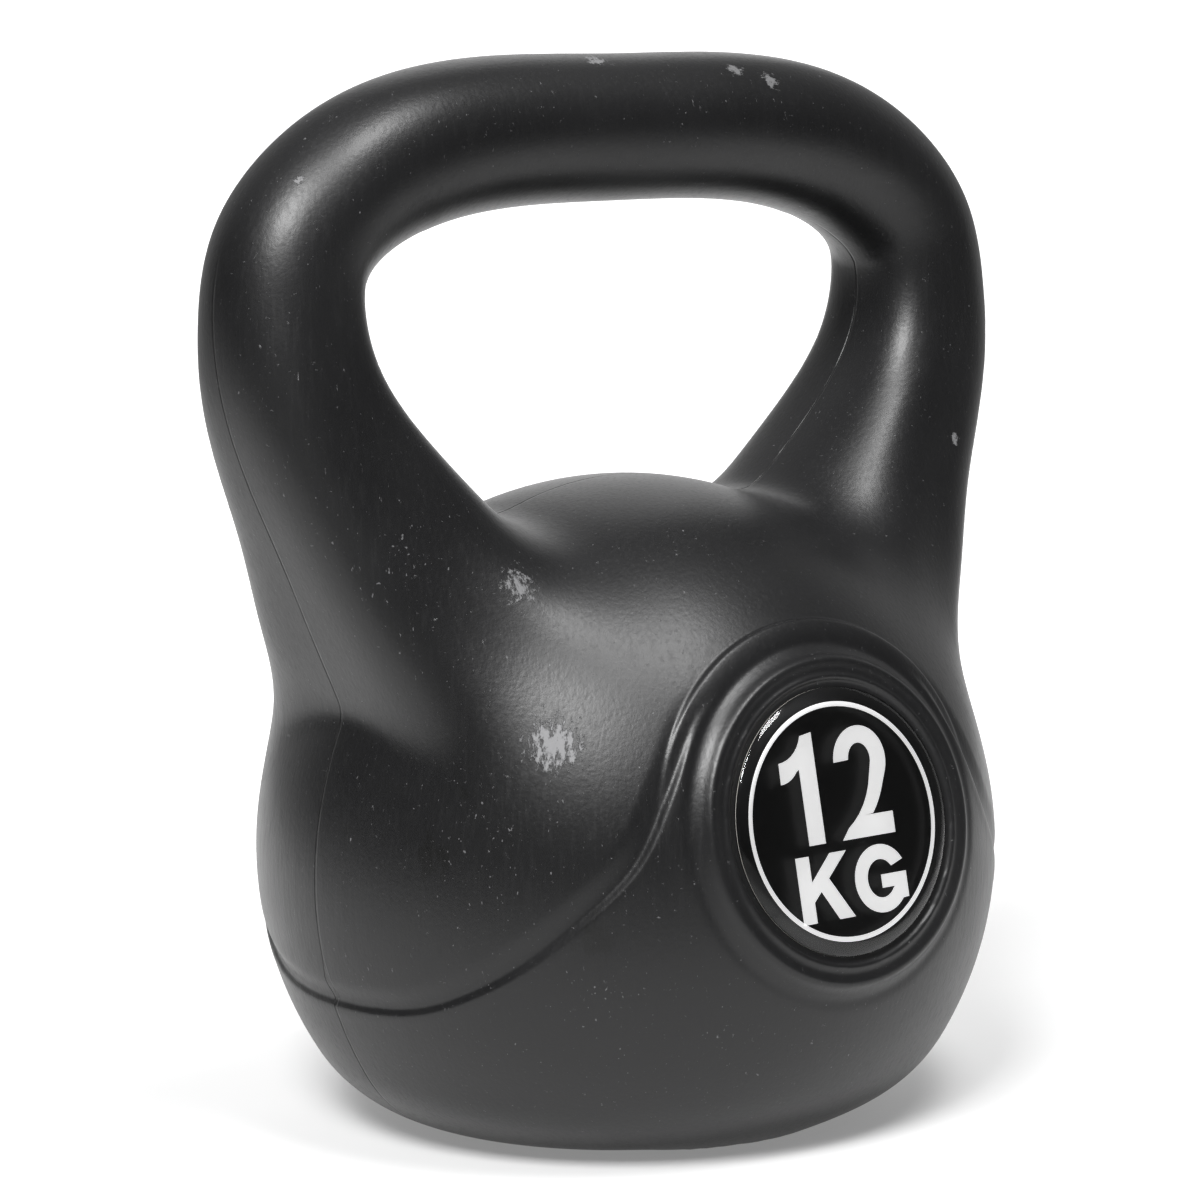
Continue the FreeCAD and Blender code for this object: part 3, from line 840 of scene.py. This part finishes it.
def turned_piece(name, side, profile, slot, **more):
    """Piece of a profile turned about the label's axis."""
    points, faces = turned(profile)
    mesh = bpy.data.meshes.new(name)
    mesh.from_pydata(on_label(side, points).tolist(), [], faces)
    return finish_piece(name, mesh, slot, **more)


def build_label(name, side, ink_with_painted_glow):
    """Clear dome and white print of one label; the print carries a painted glow."""
    turned_piece(name + "_dome_clear", side, dome_profile(), "label_dome", replaced=name + "_label_dome")
    turned_piece(name + "_print_ring", side, [(RING_RADIUS + RING_WIDTH / 2, PRINT_LIFT),
                                              (RING_RADIUS - RING_WIDTH / 2, PRINT_LIFT)],
                 "label_film", material=ink_with_painted_glow)
    for glyph, outline in glyphs().items():
        flat_piece(name + "_" + glyph, side, outline, ink_with_painted_glow)


def dress_frame():
    """Give every CAD node the material of its slot."""
    for part in frame["record"]["subparts"]:
        node = frame["nodes"][part["node"]]
        node.data.materials.clear()
        node.data.materials.append(MATERIALS[part["material_slot"]])


# ---- studio ----

def set_camera():
    """Long lens at about the height of the grip, to the left of the front label."""
    right = Vector((math.cos(CAMERA_TURN), math.sin(CAMERA_TURN), 0))
    back = Vector((math.sin(CAMERA_TURN) * math.cos(CAMERA_RISE),
                   -math.cos(CAMERA_TURN) * math.cos(CAMERA_RISE), math.sin(CAMERA_RISE)))
    up = back.cross(right)
    turn = Matrix((right, up, back)).transposed().to_4x4() @ Matrix.Rotation(CAMERA_ROLL, 4, "Z")
    data = bpy.data.cameras.new("camera")
    data.lens = CAMERA_LENS
    data.sensor_width = SENSOR_WIDTH
    data.shift_x, data.shift_y = CAMERA_SHIFT
    data.clip_start = 0.05
    camera = bpy.data.objects.new("camera", data)
    camera.matrix_world = Matrix.Translation(CAMERA_PIVOT + back * CAMERA_DISTANCE) @ turn
    bpy.context.scene.collection.objects.link(camera)
    bpy.context.scene.camera = camera


def area_light(name, place, side, power):
    """Square soft box with the given side, turned towards the middle of the kettlebell."""
    data = bpy.data.lights.new(name, "AREA")
    data.shape = "SQUARE"
    data.size, data.energy = side, power
    light = bpy.data.objects.new(name, data)
    light.location = place
    light.rotation_euler = (CAMERA_PIVOT - Vector(place)).to_track_quat("-Z", "Y").to_euler()
    bpy.context.scene.collection.objects.link(light)


def set_world():
    """Dim soft sky, a little brighter overhead than at the sides."""
    world = bpy.data.worlds.new("studio")
    bpy.context.scene.world = world
    world.use_nodes = True
    nodes, links = world.node_tree.nodes, world.node_tree.links
    place = nodes.new("ShaderNodeTexCoord")
    split = nodes.new("ShaderNodeSeparateXYZ")
    fade = nodes.new("ShaderNodeMapRange")
    for socket, value in zip(fade.inputs[1:], (SKY_LOW, SKY_HIGH, SKY_SIDE, SKY_TOP)):
        socket.default_value = value
    links.new(place.outputs["Generated"], split.inputs[0])
    links.new(split.outputs["Z"], fade.inputs[0])
    links.new(fade.outputs[0], nodes["Background"].inputs["Strength"])
    nodes["Background"].inputs["Color"].default_value = WHITE


def paper_profile():
    """Paper seen from the side, as distance behind the kettlebell and height."""
    bend = [math.radians(angle) for angle in range(6, 91, 6)]
    sweep = [(PAPER_BEND + PAPER_RADIUS * math.sin(angle), PAPER_RADIUS - PAPER_RADIUS * math.cos(angle))
             for angle in bend]
    return [(PAPER_FRONT, 0.0), (PAPER_BEND, 0.0)] + sweep + [(PAPER_BEND + PAPER_RADIUS, PAPER_TOP)]


def distance_along(shader, direction):
    """How far the shaded point lies along a direction from the kettlebell."""
    node = shader.add("ShaderNodeVectorMath", operation="DOT_PRODUCT")
    shader.feed(node.inputs[0], shader.place)
    node.inputs[1].default_value = direction
    return node.outputs["Value"]


def paper_material(away, side):
    """Pale paper with painted shade that darkens it towards the front and the sides of the studio, and a
    painted glow that grows further back.
    """
    paper = Shader("paper")
    depth = distance_along(paper, away)
    white = paper.mix(paper.noise(30), *PAPER_COLOURS)
    across = distance_along(paper, side)
    # Painted shade: the paper darkens towards the front and the sides; its painted glow also fades at the
    # sides
    painted_side_fade = paper.range(paper.math("ABSOLUTE", across), 0.4, 1.0, 1.0, 0.3)
    free_of_painted_shade = paper.math("MULTIPLY", paper.range(depth, -0.45, -0.13), painted_side_fade)
    paper.feed(paper.surface.inputs["Base Color"], paper.mix(free_of_painted_shade, PAPER_PAINTED_SHADE_COLOUR, white))
    paper.surface.inputs["Roughness"].default_value = 0.9
    paper.surface.inputs["Specular IOR Level"].default_value = 0.1
    paper.surface.inputs["Emission Color"].default_value = WHITE
    # Painted light: the paper glows, more towards the back, which washes out its shading and the
    # kettlebell's shadow
    paper.feed(paper.surface.inputs["Emission Strength"],
               paper.math("MULTIPLY", paper.range(depth, -0.4, 1.0, 0.1, PAPER_PAINTED_GLOW), painted_side_fade))
    return paper.material


def backdrop():
    """Pale paper that lies flat under the kettlebell and sweeps up behind it, with painted shade and a
    painted glow.
    """
    profile = paper_profile()
    away = Vector((-math.sin(CAMERA_TURN), math.cos(CAMERA_TURN), 0))
    side = Vector((away.y, -away.x, 0))
    points = [away * along + side * across + Vector((0, 0, up))
              for along, up in profile for across in (-PAPER_HALF, PAPER_HALF)]
    faces = [(2 * k, 2 * k + 1, 2 * k + 3, 2 * k + 2) for k in range(len(profile) - 1)]
    mesh = bpy.data.meshes.new("backdrop")
    mesh.from_pydata(points, [], faces)
    mesh.polygons.foreach_set("use_smooth", [True] * len(faces))
    mesh.materials.append(paper_material(away, side))
    sheet = bpy.data.objects.new("backdrop", mesh)
    bpy.context.scene.collection.objects.link(sheet)


def set_studio():
    """Two soft boxes above the front of the kettlebell, a dim sky and the paper."""
    set_world()
    backdrop()
    area_light("key", KEY_PLACE, KEY_SIDE, KEY_POWER)
    area_light("top", TOP_PLACE, TOP_SIDE, TOP_POWER)
    bpy.context.scene.view_settings.view_transform = "Standard"


MATERIALS = make_materials()
dress_frame()
build_shell()
INK_WITH_PAINTED_GLOW = make_ink_with_painted_glow()
build_label("front", -1, INK_WITH_PAINTED_GLOW)
build_label("back", 1, INK_WITH_PAINTED_GLOW)
set_camera()
set_studio()
